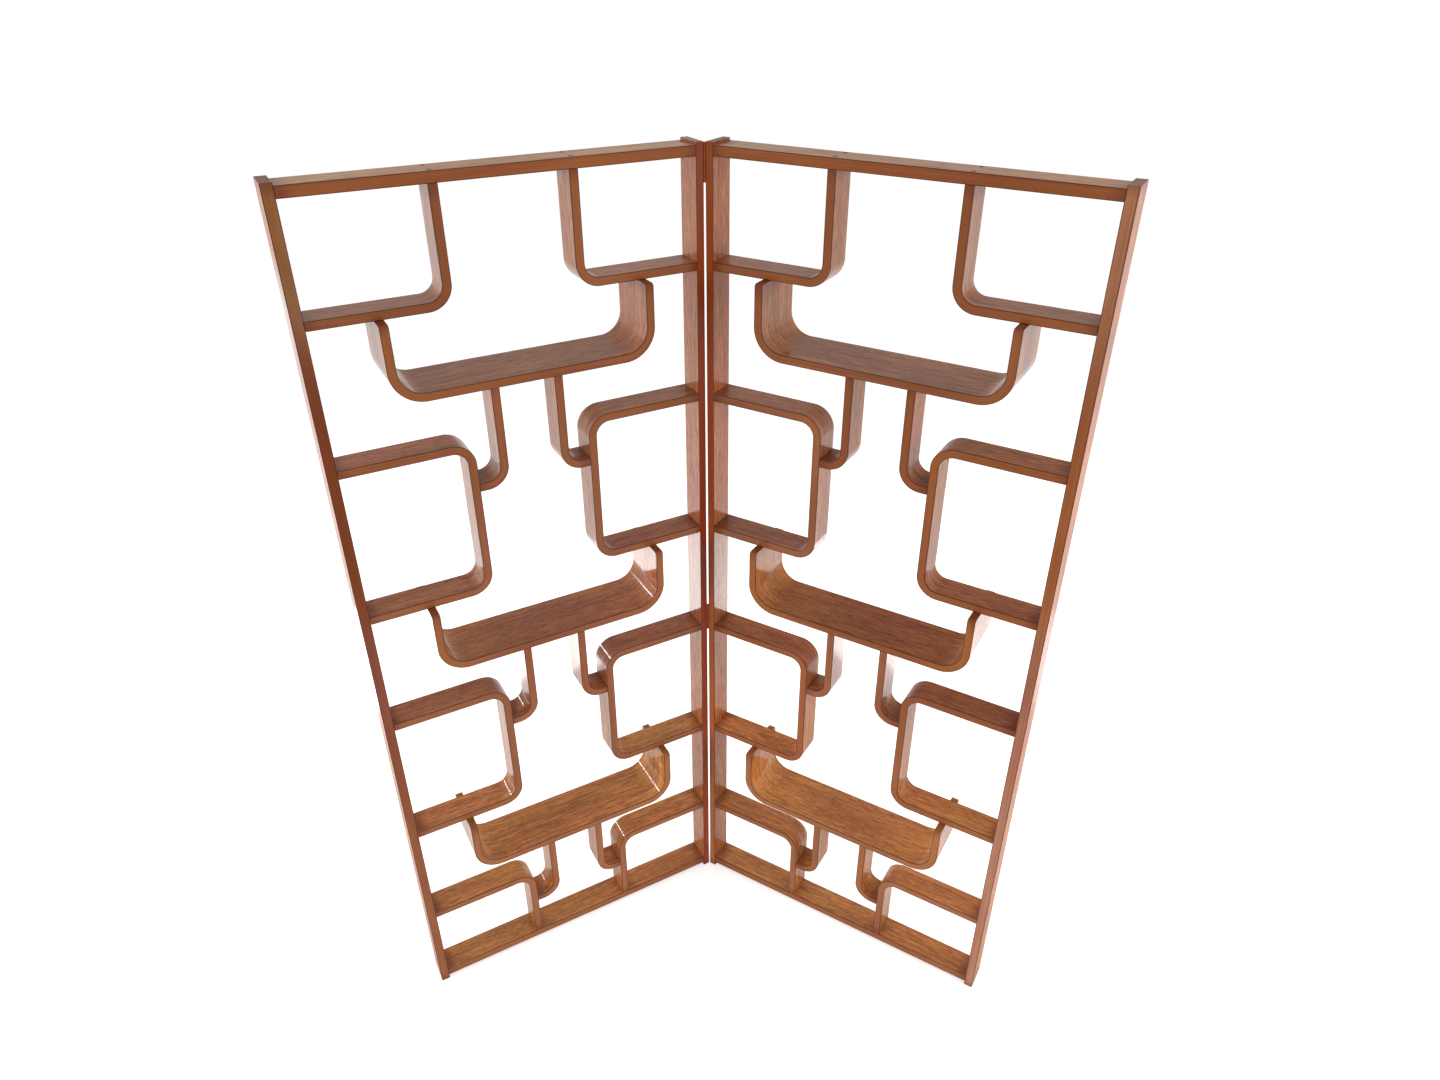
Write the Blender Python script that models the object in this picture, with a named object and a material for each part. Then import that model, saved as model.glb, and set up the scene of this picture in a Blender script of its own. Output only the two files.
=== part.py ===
# Folding room divider: two open panels of straight and bent boards, joined by two butt hinges.
# All sizes are in metres. The divider stands on z = 0 and its hollow side faces -Y.

import bpy
import bmesh
from math import acos, cos, pi, radians, sin
from mathutils import Matrix, Vector

# Clearances
FIT = 0.0003
OVERRUN = 0.002

# Frame boards: two posts and two rails for each panel
FRAME_DEPTH = 0.062
INNER_POST_THICKNESS = 0.016
OUTER_POST_THICKNESS = 0.0195
POST_RISE = 0.005
TOP_RAIL_THICKNESS = 0.020
BASE_RAIL_THICKNESS = 0.020
BASE_RAIL_LIFT = 0.012

# Bent boards: brackets, cells and hangers share one thickness
BENT_THICKNESS = 0.017
SHELF_BEND_RADIUS = 0.037
HANGER_BEND_RADIUS = 0.036

# Heights between the centre lines of the shelves, counted from the base rail's top face
BASE_BAY_RISE = 0.2025
OPEN_BAY_RISE = 0.2705
CELL_RISE = 0.3145
HEAD_BAY_RISE = 0.200

# Places across a panel, from the posts' inside faces to the boards' centre lines
COLUMN_SETBACK = 0.2375
HANGER_OFFSET = 0.060
HANGER_SPACING = 0.123

# Trays
TRAY_THICKNESS = 0.0165
TRAY_DEPTH = 0.126
TRAY_FRONT_REACH = 0.0315
TRAY_BEND_RADIUS = 0.054
TRAY_DROP = 0.1445
TRAY_EAR_SETBACK = 0.1165
EAR_EASE_DEPTH = 0.005
EAR_EASE_HEIGHT = 0.0035
HANGER_DROP = 0.214

# Screws that hold the top rail down on the head brackets
RAIL_SCREW_LENGTH = 0.045
RAIL_SCREW_HEAD_RADIUS = 0.004
RAIL_SCREW_HEAD_DEPTH = 0.002
RAIL_SCREW_RADIUS = 0.002
RAIL_SCREW_TIP = 0.004
RAIL_SCREW_SLOT = 0.001
RAIL_SCREW_DEPTH_SHARES = {"front": 1 / 6, "back": 5 / 6}

# Butt hinges, with their pins on the panels' front corners
LEAF_HEIGHT = 0.070
LEAF_WIDTH = 0.022
LEAF_THICKNESS = 0.001
BARREL_RADIUS = 0.0015
PIN_RADIUS = 0.0007
PIN_HEAD_RADIUS = 0.0013
PIN_HEAD_HEIGHT = 0.001
UPPER_HINGE_DROP = 0.037
HINGE_SPACING = 1.018
KNUCKLE_COUNT = 5

# Countersunk holes in the leaves
LEAF_HOLE_RADIUS = 0.0018
LEAF_HOLE_MOUTH_RADIUS = 0.003
LEAF_HOLE_PITCH = 0.025
LEAF_HOLE_SETBACK = 0.0125
LEAF_HOLE_ROWS = (-1, 0, 1)

# How far each panel is swung forward from the straight line
PANEL_SWING = radians(30)

# Facets
BEND_STEPS = 8
SCREW_SIDES = 12
BARREL_SIDES = 20

# Worked out from the sizes above
HINGE_SETBACK = BARREL_RADIUS + FIT
POST_THICKNESSES = {"inner": INNER_POST_THICKNESS, "outer": OUTER_POST_THICKNESS}
HANGER_SETBACK = COLUMN_SETBACK + HANGER_OFFSET
CLEAR_WIDTH = 2 * HANGER_SETBACK + HANGER_SPACING
PANEL_WIDTH = INNER_POST_THICKNESS + CLEAR_WIDTH + OUTER_POST_THICKNESS
BASE_RAIL_TOP = BASE_RAIL_LIFT + BASE_RAIL_THICKNESS
BASE_SHELF = BASE_RAIL_TOP + BASE_BAY_RISE
LOWER_CELL_BOTTOM = BASE_SHELF + OPEN_BAY_RISE
LOWER_CELL_TOP = LOWER_CELL_BOTTOM + CELL_RISE
UPPER_CELL_BOTTOM = LOWER_CELL_TOP + OPEN_BAY_RISE
UPPER_CELL_TOP = UPPER_CELL_BOTTOM + CELL_RISE
HEAD_SHELF = UPPER_CELL_TOP + OPEN_BAY_RISE
TOP_RAIL_BOTTOM = HEAD_SHELF + HEAD_BAY_RISE
TOP_RAIL_TOP = TOP_RAIL_BOTTOM + TOP_RAIL_THICKNESS
DIVIDER_HEIGHT = TOP_RAIL_TOP + POST_RISE
UPPER_HINGE = DIVIDER_HEIGHT - UPPER_HINGE_DROP
LOWER_HINGE = UPPER_HINGE - HINGE_SPACING

# The hinge axis lies behind the middle of the standing footprint
OUTER_REACH = (HINGE_SETBACK + PANEL_WIDTH) * sin(PANEL_SWING)
BACK_REACH = FRAME_DEPTH * cos(PANEL_SWING) - HINGE_SETBACK * sin(PANEL_SWING)
HINGE_Y = (OUTER_REACH - BACK_REACH) / 2

SIDES = {"left": -1, "right": 1}
HALVES = ("inner", "outer")

# The shelf that each tray hangs under
TIER_SHELVES = {"upper": HEAD_SHELF, "middle": UPPER_CELL_BOTTOM, "lower": LOWER_CELL_BOTTOM}


def clear_scene():
    for item in list(bpy.data.objects):
        bpy.data.objects.remove(item, do_unlink=True)


def surface(name, colour, roughness, metallic=0.0):
    made = bpy.data.materials.new(name)
    made.use_nodes = True
    shader = made.node_tree.nodes["Principled BSDF"]
    shader.inputs["Base Color"].default_value = (*colour, 1.0)
    shader.inputs["Roughness"].default_value = roughness
    shader.inputs["Metallic"].default_value = metallic
    made.diffuse_color = (*colour, 1.0)
    return made


def add_object(name, shape, finish, parent, smooth=False):
    """Turn a bmesh into a named object, with its faces pointing outward."""
    bmesh.ops.recalc_face_normals(shape, faces=shape.faces)
    mesh = bpy.data.meshes.new(name)
    shape.to_mesh(mesh)
    shape.free()
    mesh.materials.append(finish)
    made = bpy.data.objects.new(name, mesh)
    bpy.context.scene.collection.objects.link(made)
    made.parent = parent
    if smooth:
        mesh.shade_smooth()
        mesh.set_sharp_from_angle(angle=radians(40))
    return made


def cut_away(target, cutter):
    """Take the cutter's bodies out of the target and keep the result as its mesh."""
    tool = add_object("cutter", cutter, target.data.materials[0], target.parent)
    bpy.context.view_layer.update()
    modifier = target.modifiers.new("cut", "BOOLEAN")
    modifier.operation = "DIFFERENCE"
    modifier.solver = "EXACT"
    modifier.object = tool
    graph = bpy.context.evaluated_depsgraph_get()
    result = bpy.data.meshes.new_from_object(target.evaluated_get(graph))
    target.modifiers.remove(modifier)
    target.data = result
    bpy.data.objects.remove(tool, do_unlink=True)


def rounded_route(corners, radius):
    """Points and side directions along a line of corners whose inner corners are arcs."""
    points = [Vector(corner) for corner in corners]
    stations = []
    first = (points[1] - points[0]).normalized()
    stations.append((points[0], Vector((-first.y, first.x))))
    for before, corner, after in zip(points, points[1:], points[2:]):
        coming = (corner - before).normalized()
        going = (after - corner).normalized()
        turn = 1 if coming.cross(going) > 0 else -1
        centre = corner - coming * radius + going * radius
        for step in range(BEND_STEPS + 1):
            angle = pi / 2 * step / BEND_STEPS
            outward = going * -cos(angle) + coming * sin(angle)
            stations.append((centre + outward * radius, outward * -turn))
    last = (points[-1] - points[-2]).normalized()
    stations.append((points[-1], Vector((-last.y, last.x))))
    return stations


def board_shape(stations, thickness, depths):
    """Sweep a rectangle along the stations; depths holds each one's front and back."""
    shape = bmesh.new()
    rings = []
    for (point, side), (front, back) in zip(stations, depths):
        near = point + side * (thickness / 2)
        far = point - side * (thickness / 2)
        places = ((near, front), (far, front), (far, back), (near, back))
        rings.append([shape.verts.new((spot.x, depth, spot.y)) for spot, depth in places])
    for ring, following in zip(rings, rings[1:]):
        for index in range(4):
            after = (index + 1) % 4
            shape.faces.new((ring[index], ring[after], following[after], following[index]))
    shape.faces.new(rings[0])
    shape.faces.new(rings[-1])
    return shape


def add_lathe(shape, profile, sides, placing):
    """Add one closed body turned around +Z from pairs of radius and height."""
    columns = []
    for step in range(sides):
        angle = 2 * pi * (step + 0.5) / sides
        column = []
        for radius, height in profile[1:-1]:
            spot = Vector((radius * cos(angle), radius * sin(angle), height))
            column.append(shape.verts.new(placing @ spot))
        columns.append(column)
    first = shape.verts.new(placing @ Vector((0, 0, profile[0][1])))
    last = shape.verts.new(placing @ Vector((0, 0, profile[-1][1])))
    for step, column in enumerate(columns):
        beside = columns[(step + 1) % sides]
        shape.faces.new((first, column[0], beside[0]))
        shape.faces.new((last, beside[-1], column[-1]))
        for level in range(len(column) - 1):
            shape.faces.new((column[level], column[level + 1], beside[level + 1], beside[level]))


def rail_screw_profile(grow=0.0, above=0.0):
    """A countersunk screw from its head at zero to its tip, or the hole it needs."""
    shank = RAIL_SCREW_RADIUS + grow
    head = RAIL_SCREW_HEAD_RADIUS + grow
    return [
        (0, -above),
        (head, -above),
        (head, grow),
        (shank, RAIL_SCREW_HEAD_DEPTH + grow),
        (shank, RAIL_SCREW_LENGTH - RAIL_SCREW_TIP + grow),
        (0, RAIL_SCREW_LENGTH + grow),
    ]


def leaf_hole_profile():
    """A hole that narrows from the leaf's inner face and runs out past its back."""
    return [
        (0, -OVERRUN),
        (LEAF_HOLE_MOUTH_RADIUS, -OVERRUN),
        (LEAF_HOLE_MOUTH_RADIUS, 0),
        (LEAF_HOLE_RADIUS, LEAF_THICKNESS),
        (LEAF_HOLE_RADIUS, LEAF_THICKNESS + OVERRUN),
        (0, LEAF_THICKNESS + OVERRUN),
    ]


def add_slot(shape, placing):
    """Add the cutter of a screwdriver slot that crosses the head, as deep as it is wide."""
    length = 2 * (RAIL_SCREW_HEAD_RADIUS + OVERRUN)
    size = Matrix.Diagonal((length, RAIL_SCREW_SLOT, 2 * RAIL_SCREW_SLOT, 1.0))
    bmesh.ops.create_cube(shape, size=1.0, matrix=placing @ size)


def aimed(place, direction):
    """Where a turned piece stands when its +Z lies along the direction."""
    turn = Vector(direction).to_track_quat("Z", "Y").to_matrix().to_4x4()
    return Matrix.Translation(place) @ turn


class Panel:
    """One panel: its empty on the hinge axis, and the boards made on it by name."""

    def __init__(self, side, finishes):
        self.side = side
        self.sign = SIDES[side]
        self.finishes = finishes
        self.boards = {}
        self.axis = bpy.data.objects.new(side + "_panel", None)
        self.axis.location = (0, HINGE_Y, 0)
        self.axis.rotation_euler = (0, 0, -self.sign * PANEL_SWING)
        bpy.context.scene.collection.objects.link(self.axis)

    def name(self, *words):
        return "_".join((self.side,) + words)

    def across(self, place, half):
        """Local x of a place counted from the inside face of the inner or the outer post."""
        counted = place if half == "inner" else CLEAR_WIDTH - place
        return self.sign * (HINGE_SETBACK + INNER_POST_THICKNESS + counted)

    def outward(self, half):
        """Which way along local x the half's own post lies, seen from the panel's middle."""
        return -self.sign if half == "inner" else self.sign

    def add_board(self, name, corners, thickness, radius, finish):
        """A board as deep as the frame, bent along the corners."""
        stations = rounded_route(corners, radius)
        depths = [(0.0, FRAME_DEPTH)] * len(stations)
        shape = board_shape(stations, thickness, depths)
        bent = len(corners) > 2
        self.boards[name] = add_object(name, shape, self.finishes[finish], self.axis, bent)

    def add_posts(self):
        for half, thickness in POST_THICKNESSES.items():
            x = self.across(-thickness / 2, half)
            corners = [(x, 0.0), (x, DIVIDER_HEIGHT)]
            self.add_board(self.name(half, "post"), corners, thickness, 0.0, "frame")

    def add_rail(self, level, bottom, thickness):
        height = bottom + thickness / 2
        ends = [(self.across(FIT, half), height) for half in HALVES]
        self.add_board(self.name(level, "rail"), ends, thickness, 0.0, "frame")

    def add_bracket(self, half, level, shelf, end):
        """A shelf from the post that bends up or down and stops at the end's height."""
        start = self.across(FIT, half)
        column = self.across(COLUMN_SETBACK, half)
        corners = [(start, shelf), (column, shelf), (column, end)]
        name = self.name(half, level, "bracket")
        self.add_board(name, corners, BENT_THICKNESS, SHELF_BEND_RADIUS, "bent")

    def add_cell(self, half, level, bottom, top):
        """Two shelves and the column between them, bent from one board."""
        start = self.across(FIT, half)
        column = self.across(COLUMN_SETBACK, half)
        corners = [(start, top), (column, top), (column, bottom), (start, bottom)]
        name = self.name(half, level, "cell")
        self.add_board(name, corners, BENT_THICKNESS, SHELF_BEND_RADIUS, "bent")

    def add_tray(self, tier, shelf):
        """A tray, deeper than the frame, whose upturned ears stop under the shelves."""
        near, far = (self.across(TRAY_EAR_SETBACK, half) for half in HALVES)
        floor = shelf - TRAY_DROP
        top = shelf - BENT_THICKNESS / 2 - FIT
        shoulder = top - EAR_EASE_HEIGHT
        corners = [(near, top), (near, floor), (far, floor), (far, top)]
        stations = rounded_route(corners, TRAY_BEND_RADIUS)
        stations.insert(1, (Vector((near, shoulder)), stations[0][1]))
        stations.insert(-1, (Vector((far, shoulder)), stations[-1][1]))
        front = -TRAY_FRONT_REACH
        back = TRAY_DEPTH - TRAY_FRONT_REACH
        eased = (front + EAR_EASE_DEPTH, back - EAR_EASE_DEPTH)
        depths = [eased] + [(front, back)] * (len(stations) - 2) + [eased]
        shape = board_shape(stations, TRAY_THICKNESS, depths)
        name = self.name(tier, "tray")
        self.boards[name] = add_object(name, shape, self.finishes["tray"], self.axis, True)

    def add_hanger(self, half, tier, shelf):
        """A board that drops from under a tray and bends outward to the column beside it."""
        outward = self.outward(half)
        x = self.across(HANGER_SETBACK, half)
        end = self.across(COLUMN_SETBACK, half) - outward * (BENT_THICKNESS / 2 + FIT)
        floor = shelf - TRAY_DROP
        top = floor - TRAY_THICKNESS / 2 - FIT
        foot = floor - HANGER_DROP
        name = self.name(half, tier, "hanger")
        corners = [(x, top), (x, foot), (end, foot)]
        self.add_board(name, corners, BENT_THICKNESS, HANGER_BEND_RADIUS, "bent")

    def add_rail_screws(self):
        """Screws from the top rail's upper face into the head brackets, in their own holes."""
        rail_holes = bmesh.new()
        for half in HALVES:
            bracket_holes = bmesh.new()
            for end, share in RAIL_SCREW_DEPTH_SHARES.items():
                spot = (self.across(COLUMN_SETBACK, half), FRAME_DEPTH * share, TOP_RAIL_TOP)
                placing = aimed(spot, (0, 0, -1))
                screw = bmesh.new()
                slot = bmesh.new()
                add_lathe(screw, rail_screw_profile(), SCREW_SIDES, placing)
                add_slot(slot, placing)
                name = self.name(half, end, "rail_screw")
                made = add_object(name, screw, self.finishes["screw"], self.axis, True)
                cut_away(made, slot)
                for holes in (rail_holes, bracket_holes):
                    add_lathe(holes, rail_screw_profile(FIT, OVERRUN), SCREW_SIDES, placing)
            cut_away(self.boards[self.name(half, "head_bracket")], bracket_holes)
        cut_away(self.boards[self.name("top_rail")], rail_holes)

    def add_all(self):
        self.add_posts()
        self.add_rail("top", TOP_RAIL_BOTTOM, TOP_RAIL_THICKNESS)
        self.add_rail("base", BASE_RAIL_LIFT, BASE_RAIL_THICKNESS)
        for half in HALVES:
            self.add_bracket(half, "head", HEAD_SHELF, TOP_RAIL_BOTTOM - FIT)
            self.add_cell(half, "upper", UPPER_CELL_BOTTOM, UPPER_CELL_TOP)
            self.add_cell(half, "lower", LOWER_CELL_BOTTOM, LOWER_CELL_TOP)
            self.add_bracket(half, "base", BASE_SHELF, BASE_RAIL_TOP + FIT)
        for tier, shelf in TIER_SHELVES.items():
            self.add_tray(tier, shelf)
            for half in HALVES:
                self.add_hanger(half, tier, shelf)
        self.add_rail_screws()


def knuckle_levels():
    """Heights at which each knuckle starts and ends, counted from the leaf's bottom edge."""
    pitch = LEAF_HEIGHT / KNUCKLE_COUNT
    levels = []
    for index in range(KNUCKLE_COUNT):
        low = pitch * index + (FIT / 2 if index else 0.0)
        high = pitch * (index + 1) - (FIT / 2 if index < KNUCKLE_COUNT - 1 else 0.0)
        levels.append((low, high))
    return levels


def knuckle_plan(sign):
    """Four-sided pieces of a knuckle's plan: the ring round the pin and the strip to the plate."""
    bore = PIN_RADIUS + FIT
    notch = BARREL_RADIUS + FIT
    face = sign * BARREL_RADIUS
    back = sign * (BARREL_RADIUS - LEAF_THICKNESS)
    meeting = acos((BARREL_RADIUS - LEAF_THICKNESS) / BARREL_RADIUS)
    angles = [0.0]
    for step in range(BARREL_SIDES):
        angles.append(meeting + (2 * pi - meeting) * step / BARREL_SIDES)
    outer = [(sign * BARREL_RADIUS * cos(angle), BARREL_RADIUS * sin(angle)) for angle in angles]
    inner = [(sign * bore * cos(angle), bore * sin(angle)) for angle in angles]
    pieces = [(outer[0], (face, notch), (back, notch), outer[1])]
    for index in range(len(angles)):
        after = (index + 1) % len(angles)
        pieces.append((outer[index], outer[after], inner[after], inner[index]))
    return pieces


def body_from_prisms(prisms):
    """One closed shape from prisms that share whole faces; the shared faces are left out."""
    shape = bmesh.new()
    points = {}
    faces = {}
    for plan, low, high in prisms:
        rings = []
        for height in (low, high):
            spots = [Vector((x, y, height)) for x, y in plan]
            keys = [tuple(round(value / FIT, 2) for value in spot) for spot in spots]
            for key, spot in zip(keys, spots):
                if key not in points:
                    points[key] = shape.verts.new(spot)
            rings.append([points[key] for key in keys])
        lower, upper = rings
        walls = [lower, upper]
        for index in range(len(plan)):
            after = (index + 1) % len(plan)
            walls.append([lower[index], lower[after], upper[after], upper[index]])
        for wall in walls:
            faces.setdefault(frozenset(wall), []).append(wall)
    for shared in faces.values():
        if len(shared) == 1:
            shape.faces.new(shared[0])
    return shape


def leaf_shape(sign, first_knuckle, bottom):
    """A hinge leaf beside its post, with every second knuckle from the first one on."""
    levels = knuckle_levels()
    notch = BARREL_RADIUS + FIT
    face = sign * BARREL_RADIUS
    back = sign * (BARREL_RADIUS - LEAF_THICKNESS)
    plate = ((face, notch), (face, LEAF_WIDTH), (back, LEAF_WIDTH), (back, notch))
    marks = sorted({mark for level in levels for mark in level})
    prisms = [(plate, bottom + low, bottom + high) for low, high in zip(marks, marks[1:])]
    for low, high in levels[first_knuckle::2]:
        for piece in knuckle_plan(sign):
            prisms.append((piece, bottom + low, bottom + high))
    return body_from_prisms(prisms)


def add_leaf(name, panel, first_knuckle, centre, finish):
    shape = leaf_shape(panel.sign, first_knuckle, centre - LEAF_HEIGHT / 2)
    leaf = add_object(name, shape, finish, panel.axis, True)
    holes = bmesh.new()
    for row in LEAF_HOLE_ROWS:
        x = panel.sign * (BARREL_RADIUS - LEAF_THICKNESS)
        spot = (x, LEAF_HOLE_SETBACK, centre + row * LEAF_HOLE_PITCH)
        placing = aimed(spot, (panel.sign, 0, 0))
        add_lathe(holes, leaf_hole_profile(), SCREW_SIDES, placing)
    cut_away(leaf, holes)


def add_pin(name, centre, parent, finish):
    """A hinge pin whose head rests just above the barrel's top end."""
    bottom = centre - LEAF_HEIGHT / 2
    top = centre + LEAF_HEIGHT / 2 + FIT
    profile = [
        (0, bottom),
        (PIN_RADIUS, bottom),
        (PIN_RADIUS, top),
        (PIN_HEAD_RADIUS, top),
        (PIN_HEAD_RADIUS, top + PIN_HEAD_HEIGHT / 2),
        (PIN_HEAD_RADIUS / 2, top + PIN_HEAD_HEIGHT),
        (0, top + PIN_HEAD_HEIGHT),
    ]
    shape = bmesh.new()
    add_lathe(shape, profile, SCREW_SIDES, Matrix())
    add_object(name, shape, finish, parent, True)


def add_hinges(panels, finish):
    """Both hinges; the left leaf carries the end knuckles, and the pin stays with it."""
    for level, centre in {"upper": UPPER_HINGE, "lower": LOWER_HINGE}.items():
        for first_knuckle, side in enumerate(SIDES):
            name = level + "_hinge_" + side + "_leaf"
            add_leaf(name, panels[side], first_knuckle, centre, finish)
        add_pin(level + "_hinge_pin", centre, panels["left"].axis, finish)


def build():
    clear_scene()
    finishes = {
        "frame": surface("frame_wood", (0.36, 0.15, 0.065), 0.38),
        "bent": surface("bent_wood", (0.40, 0.17, 0.075), 0.36),
        "tray": surface("tray_wood", (0.42, 0.19, 0.075), 0.34),
        "screw": surface("screw_metal", (0.24, 0.17, 0.10), 0.45, 1.0),
        "hinge": surface("hinge_metal", (0.30, 0.20, 0.10), 0.42, 1.0),
    }
    panels = {side: Panel(side, finishes) for side in SIDES}
    for panel in panels.values():
        panel.add_all()
    add_hinges(panels, finishes["hinge"])


build()
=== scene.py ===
from math import cos, hypot, pi, radians, sin

import bmesh
import bpy
from mathutils import Matrix, Vector


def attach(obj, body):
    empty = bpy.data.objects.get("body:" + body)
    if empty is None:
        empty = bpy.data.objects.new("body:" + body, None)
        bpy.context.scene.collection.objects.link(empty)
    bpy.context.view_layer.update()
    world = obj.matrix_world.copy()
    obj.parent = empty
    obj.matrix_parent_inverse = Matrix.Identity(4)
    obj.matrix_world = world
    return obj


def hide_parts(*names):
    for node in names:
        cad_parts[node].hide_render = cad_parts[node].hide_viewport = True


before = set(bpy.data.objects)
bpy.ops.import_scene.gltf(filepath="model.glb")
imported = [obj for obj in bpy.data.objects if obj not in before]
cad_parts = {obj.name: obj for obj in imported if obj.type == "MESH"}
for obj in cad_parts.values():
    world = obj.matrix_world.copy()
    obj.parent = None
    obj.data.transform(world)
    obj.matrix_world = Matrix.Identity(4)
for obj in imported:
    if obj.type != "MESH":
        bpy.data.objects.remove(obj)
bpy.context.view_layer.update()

# Sizes of the solids, in metres, so that each board here fills the place of its node.
# A place is counted from the near post's face inside the panel, and a level from the floor.
FIT = 0.0003
FRAME_DEPTH = 0.062
POSTS = {"inner": 0.016, "outer": 0.0195}
HEIGHT = 1.900
TOP_RAIL = (1.875, 1.895)
BASE_RAIL = (0.012, 0.032)
BENT_THICKNESS = 0.017
SHELF_BEND = 0.037
HANGER_BEND = 0.036
HEAD_SHELF = 1.675
UPPER_CELL = (1.090, 1.4045)
LOWER_CELL = (0.505, 0.8195)
BASE_SHELF = 0.2345
COLUMN_PLACE = 0.2375
HANGER_PLACE = 0.2975
CLEAR_WIDTH = 0.718
TRAY_THICKNESS = 0.0165
TRAY_FRONT = -0.0315
TRAY_BACK = 0.0945
TRAY_BEND = 0.054
TRAY_DROP = 0.1445
TRAY_EAR = 0.1165
EASE_DEPTH = 0.005
EASE_HEIGHT = 0.0035
HANGER_DROP = 0.214
BARREL_RADIUS = 0.0015
LEAF_THICKNESS = 0.001
HINGE_Y = 0.162428
HINGE_LEVELS = {"upper": 1.863, "lower": 0.845}
HOLE_PITCH = 0.025
HOLE_SETBACK = 0.0125
PANEL_TURN = radians(30)
SIGNS = {"left": -1, "right": 1}
TIERS = {"upper": HEAD_SHELF, "middle": UPPER_CELL[0], "lower": LOWER_CELL[0]}

# Holes of the rail screws: where they stand in the depth, and their radii and depths
RAIL_SCREW_SHARES = (1 / 6, 5 / 6)
HOLE_OVERRUN = 0.002
HOLE_HEAD_RADIUS = 0.0043
HOLE_SHANK_RADIUS = 0.0023
HOLE_RIM_DEPTH = 0.0003
HOLE_HEAD_DEPTH = 0.0023
HOLE_SHANK_DEPTH = 0.0413
HOLE_TIP_DEPTH = 0.0453
RAIL_HOLE = (
    (0.0, -HOLE_OVERRUN),
    (HOLE_HEAD_RADIUS, -HOLE_OVERRUN),
    (HOLE_HEAD_RADIUS, HOLE_RIM_DEPTH),
    (HOLE_SHANK_RADIUS, HOLE_HEAD_DEPTH),
    (HOLE_SHANK_RADIUS, HOLE_SHANK_DEPTH),
    (0.0, HOLE_TIP_DEPTH),
)

# Hinge screws: radii and depths of the crowned head and the short shank, and the slot
SCREW_CROWN_RADIUS = 0.0021
SCREW_LIP_RADIUS = 0.0027
SCREW_HEAD_RADIUS = 0.00275
SCREW_SHANK_RADIUS = 0.0017
SCREW_CROWN_DEPTH = 0.00002
SCREW_LIP_DEPTH = 0.00012
SCREW_RIM_DEPTH = 0.0002
SCREW_NECK_DEPTH = 0.00105
SCREW_DEPTH = 0.0012
HINGE_SCREW = (
    (0.0, 0.0),
    (SCREW_CROWN_RADIUS, SCREW_CROWN_DEPTH),
    (SCREW_LIP_RADIUS, SCREW_LIP_DEPTH),
    (SCREW_HEAD_RADIUS, SCREW_RIM_DEPTH),
    (SCREW_SHANK_RADIUS, SCREW_NECK_DEPTH),
    (SCREW_SHANK_RADIUS, SCREW_DEPTH),
    (0.0, SCREW_DEPTH),
)
SLOT_SIZE = (0.008, 0.0006, 0.0009)
SLOT_TURN = 2.6

# How finely things are rounded
BEND_STEPS = 20
POST_STEPS = 19
CORNER_STEPS = 3
LATHE_SIDES = 24
POST_EDGE = 0.0009
BENT_EDGE = 0.0009
BUTT_EDGE = 0.0003
SAWN_EDGE = 0.0012
SHARP_ANGLE = radians(40)

# What a face of a board is, as its mesh says it
FACE_KIND = 0.0
EDGE_KIND = 1.0
CAP_KIND = 2.0
KIND_TOLERANCE = 0.5

# The bake map: the sides of a board fill most of it, and its end faces stand in a strip above
SIDES_MARGIN = 0.01
SIDES_LENGTH = 0.98
SIDES_GIRTH = 0.87
CAP_CORNER = (0.03, 0.90)
CAP_PITCH = 0.5
CAP_SPAN = (0.40, 0.09)
HOLE_CORNER = (0.95, 0.91)
HOLE_SPAN = (0.04, 0.08)

# Numbers that are spread by name, and what they shift
SPREAD_START = 7
SALT_STEP = 131
LETTER_STEP = 33
SPREAD_MODULUS = 65521
SPREAD_STEPS = 1009
GRAIN_SHIFT = 9.0
SHADE_SALT = 5
SLOT_SALT = 3
LEAST_SHADE = 0.94
SHADE_SPAN = 0.12
POST_TINT_SHARE = 0.35


def all_over(value):
    """A table by height that gives one value for the whole board."""
    return ((0.0, value),)


# How the wood differs from place to place, by height: factors of its colour, which are painted light
# (lighter and more golden lowest down, darker in the middle, with painted sheen on the low edges),
# how red a post's edges or how golden a tray's ends are, and how much of the lacquer's sheen is left
FACE_TINTS_AND_PAINTED_LIGHT = (
    (0.44, (1.31, 1.56, 1.17)),
    (0.84, (0.89, 0.90, 0.92)),
    (1.15, (0.89, 0.90, 0.92)),
    (1.40, (1.05, 1.16, 1.08)),
)
# Edge factors by height: painted light, and painted sheen that makes the low edges paler and bluer
EDGE_TINTS_AND_PAINTED_LIGHT = (
    (0.30, (1.26, 1.44, 1.70)),
    (0.75, (1.04, 1.05, 1.20)),
    (1.30, (0.94, 0.88, 0.70)),
)
TONES = {
    "left_inner_post": ((0.60, 0.75), (1.05, 1.0), (1.35, 0.95), (1.60, 0.65)),
    "right_inner_post": ((0.85, 0.0), (1.00, 0.5), (1.30, 0.8), (1.85, 0.6)),
    "left_outer_post": ((0.60, 0.15), (0.85, 0.4), (1.15, 0.5), (1.55, 0.5), (1.70, 0.0)),
    # The trays' tones set how golden their ends are, which is partly a painted reflection of the tray's floor
    "upper_tray": all_over(0.15),
    "middle_tray": all_over(0.8),
    "lower_tray": all_over(0.35),
}
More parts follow.
